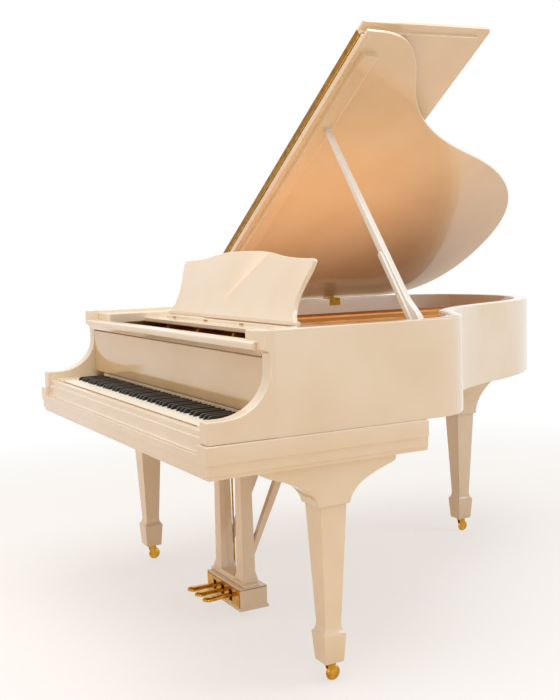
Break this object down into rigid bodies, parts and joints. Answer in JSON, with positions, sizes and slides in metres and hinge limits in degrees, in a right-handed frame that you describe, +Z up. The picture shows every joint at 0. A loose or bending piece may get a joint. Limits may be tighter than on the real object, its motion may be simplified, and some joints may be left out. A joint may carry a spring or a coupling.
{
  "type": "grand piano",
  "caption": "Grand piano with an ivory lacquered case, its lid raised on a prop and its front flap folded back, on three tapered legs with casters and a pedal lyre.",
  "frame": {"origin": "on the floor under the middle of the piano's bounding box", "axes": "+X towards the treble side (the player's right), +Y from the player towards the tail, +Z up"},
  "size_m": [1.5639, 1.871, 1.8981],
  "materials": {
    "ivory_lacquer": "gloss lacquer",
    "brass": "polished",
    "maple": "plain",
    "spruce": "satin varnish",
    "gold_iron": "gold paint",
    "key_white": "polished",
    "key_black": "satin"
  },
  "bodies": {
    "case": {"outer_rim": "ivory_lacquer", "inner_rim": "maple", "wood_braces": "spruce", "base_moulding": "ivory_lacquer", "keybed": "maple", "key_slip": "ivory_lacquer", "key_block_bass": "ivory_lacquer", "key_block_treble": "ivory_lacquer", "stretcher": "ivory_lacquer", "pinblock": "maple", "soundboard": "spruce", "treble_bridge": "maple", "bass_bridge": "maple", "plate": "gold_iron", "leg_bass": "ivory_lacquer", "leg_treble": "ivory_lacquer", "leg_tail": "ivory_lacquer", "capital_bass": "ivory_lacquer", "capital_treble": "ivory_lacquer", "capital_tail": "ivory_lacquer", "lyre_frame": "ivory_lacquer", "pedal_box": "ivory_lacquer", "pedal_plate": "brass", "lyre_brace_bass": "ivory_lacquer", "lyre_brace_treble": "ivory_lacquer", "prop_bracket": "brass", "lid_hinge_1": "brass", "lid_hinge_2": "brass"},
    "lid": {"main_lid": "ivory_lacquer", "prop_cup": "brass"},
    "flap": {"front_flap": "ivory_lacquer", "flap_hinge": "brass"},
    "long_prop": {"lid_prop": "ivory_lacquer"},
    "short_stick": {"short_prop": "ivory_lacquer"},
    "shelf": {"music_shelf": "ivory_lacquer"},
    "desk": {"music_desk": "ivory_lacquer"},
    "strut": {"desk_strut": "ivory_lacquer"},
    "fall": {"fallboard": "ivory_lacquer"},
    "key_frame": {"natural_keys": "key_white", "sharp_keys": "key_black", "hammer_rail": "maple"},
    "dampers": {"damper_rail": "maple"},
    "body_key_C4": {"key_C4": "key_white"},
    "body_key_Cs4": {"key_Cs4": "key_black"},
    "body_key_D4": {"key_D4": "key_white"},
    "body_key_Ds4": {"key_Ds4": "key_black"},
    "body_key_E4": {"key_E4": "key_white"},
    "body_pedal_left": {"pedal_left": "brass"},
    "body_rod_left": {"pedal_rod_left": "brass"},
    "body_pedal_middle": {"pedal_middle": "brass"},
    "body_rod_middle": {"pedal_rod_middle": "brass"},
    "body_pedal_right": {"pedal_right": "brass"},
    "body_rod_right": {"pedal_rod_right": "brass"},
    "fork_bass": {"caster_fork_bass": "brass"},
    "wheel_bass": {"caster_wheel_bass": "brass"},
    "fork_treble": {"caster_fork_treble": "brass"},
    "wheel_treble": {"caster_wheel_treble": "brass"},
    "fork_tail": {"caster_fork_tail": "brass"},
    "wheel_tail": {"caster_wheel_tail": "brass"}
  },
  "joints": [
    {"name": "lid_hinge", "type": "hinge", "parent": "case", "child": "lid", "pos_m": [-0.73294, -0.0245, 1.0035], "axis": [0, -1, 0], "range_deg": [0, 45]},
    {"name": "flap_hinge", "type": "hinge", "parent": "lid", "child": "flap", "pos_m": [-0.74635, -0.2645, 1.024], "axis": [0.8368, 0, 0.5476], "range_deg": [0, 176.7]},
    {"name": "prop_fold", "type": "hinge", "parent": "case", "child": "long_prop", "pos_m": [0.69506, -0.2125, 0.9615], "axis": [0, -1, 0], "range_deg": [0, 46]},
    {"name": "short_prop_hinge", "type": "hinge", "parent": "long_prop", "child": "short_stick", "pos_m": [0.52471, -0.2228, 1.18119], "axis": [0, -1, 0], "range_deg": [0, 80]},
    {"name": "shelf_slide", "type": "slide", "parent": "case", "child": "shelf", "axis": [0, 1, 0], "range_m": [0, 0.045]},
    {"name": "desk_tilt", "type": "hinge", "parent": "shelf", "child": "desk", "pos_m": [0.02106, -0.5105, 0.99], "axis": [-1, 0, 0], "range_deg": [0, 69]},
    {"name": "strut_fold", "type": "hinge", "parent": "desk", "child": "strut", "pos_m": [0.02106, -0.46393, 1.07924], "axis": [1, 0, 0], "range_deg": [0, 138]},
    {"name": "fallboard_hinge", "type": "hinge", "parent": "case", "child": "fall", "pos_m": [0.02106, -0.7305, 0.777], "axis": [1, 0, 0], "range_deg": [0, 90]},
    {"name": "key_shift", "type": "slide", "parent": "case", "child": "key_frame", "axis": [1, 0, 0], "range_m": [0, 0.0031]},
    {"name": "damper_lift", "type": "slide", "parent": "case", "child": "dampers", "axis": [0, 0, 1], "range_m": [0, 0.0051]},
    {"name": "press_C4", "type": "hinge", "parent": "key_frame", "child": "body_key_C4", "pos_m": [0.02106, -0.6895, 0.7335], "axis": [1, 0, 0], "range_deg": [0, 2.8], "stiffness_Nm_per_rad": 2, "springref_deg": -2.86},
    {"name": "press_Cs4", "type": "hinge", "parent": "key_frame", "child": "body_key_Cs4", "pos_m": [0.02106, -0.6895, 0.7335], "axis": [1, 0, 0], "range_deg": [0, 2.8], "stiffness_Nm_per_rad": 2, "springref_deg": -2.86},
    {"name": "press_D4", "type": "hinge", "parent": "key_frame", "child": "body_key_D4", "pos_m": [0.02106, -0.6895, 0.7335], "axis": [1, 0, 0], "range_deg": [0, 2.8], "stiffness_Nm_per_rad": 2, "springref_deg": -2.86},
    {"name": "press_Ds4", "type": "hinge", "parent": "key_frame", "child": "body_key_Ds4", "pos_m": [0.02106, -0.6895, 0.7335], "axis": [1, 0, 0], "range_deg": [0, 2.8], "stiffness_Nm_per_rad": 2, "springref_deg": -2.86},
    {"name": "press_E4", "type": "hinge", "parent": "key_frame", "child": "body_key_E4", "pos_m": [0.02106, -0.6895, 0.7335], "axis": [1, 0, 0], "range_deg": [0, 2.8], "stiffness_Nm_per_rad": 2, "springref_deg": -2.86},
    {"name": "pedal_left_press", "type": "hinge", "parent": "case", "child": "body_pedal_left", "pos_m": [-0.04094, -0.5195, 0.07], "axis": [1, 0, 0], "range_deg": [0, 9], "stiffness_Nm_per_rad": 5, "springref_deg": -5.73},
    {"name": "rod_left_lift", "type": "slide", "parent": "case", "child": "body_rod_left", "axis": [0, 0, 1], "range_m": [0, 0.0063]},
    {"name": "pedal_middle_press", "type": "hinge", "parent": "case", "child": "body_pedal_middle", "pos_m": [0.02106, -0.5195, 0.07], "axis": [1, 0, 0], "range_deg": [0, 9], "stiffness_Nm_per_rad": 5, "springref_deg": -5.73},
    {"name": "rod_middle_lift", "type": "slide", "parent": "case", "child": "body_rod_middle", "axis": [0, 0, 1], "range_m": [0, 0.0063]},
    {"name": "pedal_right_press", "type": "hinge", "parent": "case", "child": "body_pedal_right", "pos_m": [0.08306, -0.5195, 0.07], "axis": [1, 0, 0], "range_deg": [0, 9], "stiffness_Nm_per_rad": 5, "springref_deg": -5.73},
    {"name": "rod_right_lift", "type": "slide", "parent": "case", "child": "body_rod_right", "axis": [0, 0, 1], "range_m": [0, 0.0063]},
    {"name": "swivel_bass", "type": "hinge", "parent": "case", "child": "fork_bass", "pos_m": [-0.66494, -0.5495, 0.06], "axis": [0, 0, 1], "continuous": true},
    {"name": "roll_bass", "type": "hinge", "parent": "fork_bass", "child": "wheel_bass", "pos_m": [-0.66494, -0.5395, 0.0225], "axis": [1, 0, 0], "continuous": true},
    {"name": "swivel_treble", "type": "hinge", "parent": "case", "child": "fork_treble", "pos_m": [0.70706, -0.5495, 0.06], "axis": [0, 0, 1], "continuous": true},
    {"name": "roll_treble", "type": "hinge", "parent": "fork_treble", "child": "wheel_treble", "pos_m": [0.70706, -0.5395, 0.0225], "axis": [1, 0, 0], "continuous": true},
    {"name": "swivel_tail", "type": "hinge", "parent": "case", "child": "fork_tail", "pos_m": [-0.28494, 0.7015, 0.06], "axis": [0, 0, 1], "continuous": true},
    {"name": "roll_tail", "type": "hinge", "parent": "fork_tail", "child": "wheel_tail", "pos_m": [-0.28494, 0.7115, 0.0225], "axis": [1, 0, 0], "continuous": true}
  ],
  "couplings": [
    {"joint": "strut_fold", "follows": "desk_tilt", "ratio": 2},
    {"joint": "rod_left_lift", "follows": "pedal_left_press", "m_per_rad": 0.039},
    {"joint": "rod_middle_lift", "follows": "pedal_middle_press", "m_per_rad": 0.039},
    {"joint": "rod_right_lift", "follows": "pedal_right_press", "m_per_rad": 0.039},
    {"joint": "key_shift", "follows": "pedal_left_press", "m_per_rad": 0.0191},
    {"joint": "damper_lift", "follows": "pedal_right_press", "m_per_rad": 0.03183}
  ]
}
